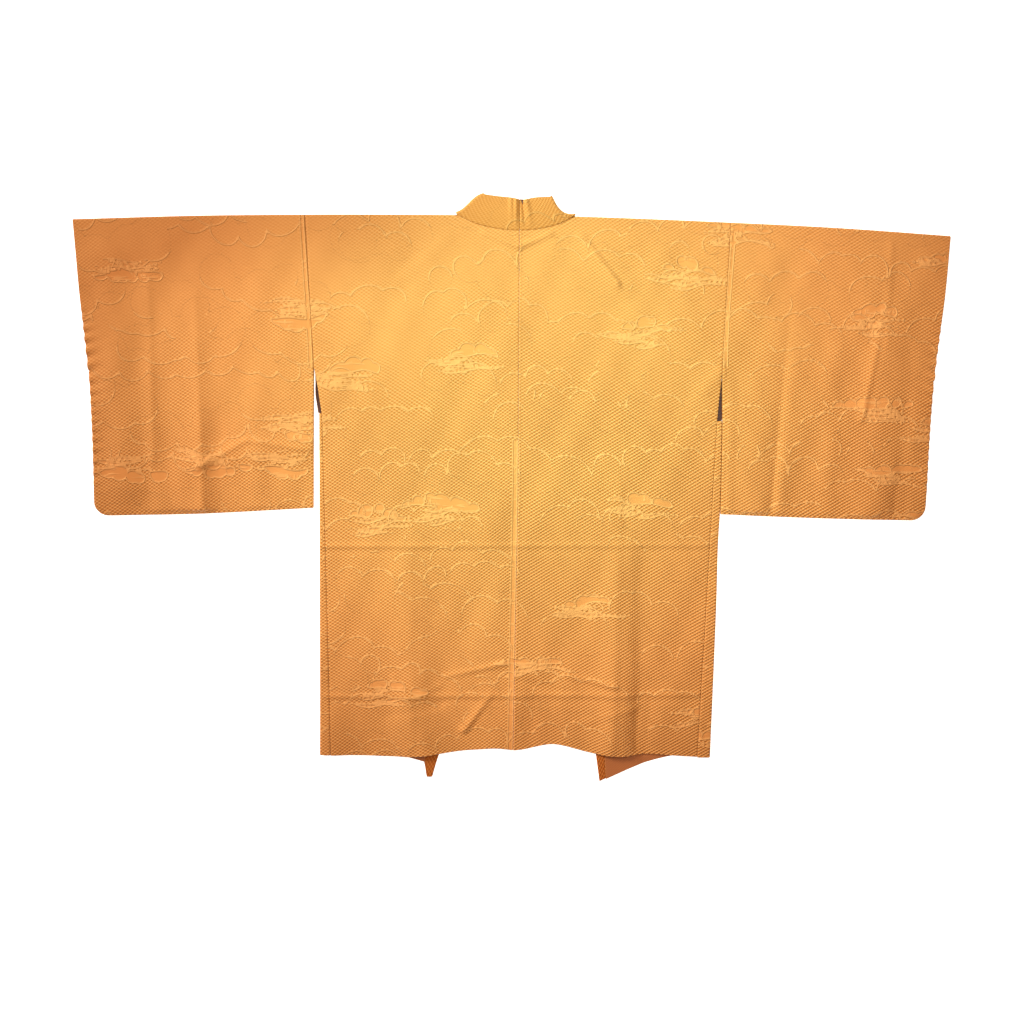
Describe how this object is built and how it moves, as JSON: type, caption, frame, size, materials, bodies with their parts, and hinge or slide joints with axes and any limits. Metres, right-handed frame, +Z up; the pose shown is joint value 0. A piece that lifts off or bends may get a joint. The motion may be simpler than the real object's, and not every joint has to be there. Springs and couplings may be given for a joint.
{
  "type": "haori jacket",
  "caption": "Woman's silk haori jacket laid flat on its front, back up and sleeves spread, with a turned-out collar, side gores and open armpits.",
  "frame": {"origin": "bottom centre of the whole garment as it lies on a flat surface", "axes": "+X along the shoulders and sleeves, +Y from the hem to the collar, +Z up out of the surface, with the back of the jacket up"},
  "size_m": [1.3014, 0.9038, 0.013],
  "materials": {
    "silk": "apricot gold silk with a small puffed lattice weave and smooth woven cloud figures, soft satin sheen"
  },
  "bodies": {
    "root": {"body_left": "silk", "body_right": "silk", "sleeve_left": "silk", "sleeve_right": "silk", "gore_left": "silk", "gore_right": "silk", "collar_left": "silk", "collar_right": "silk"}
  },
  "joints": []
}
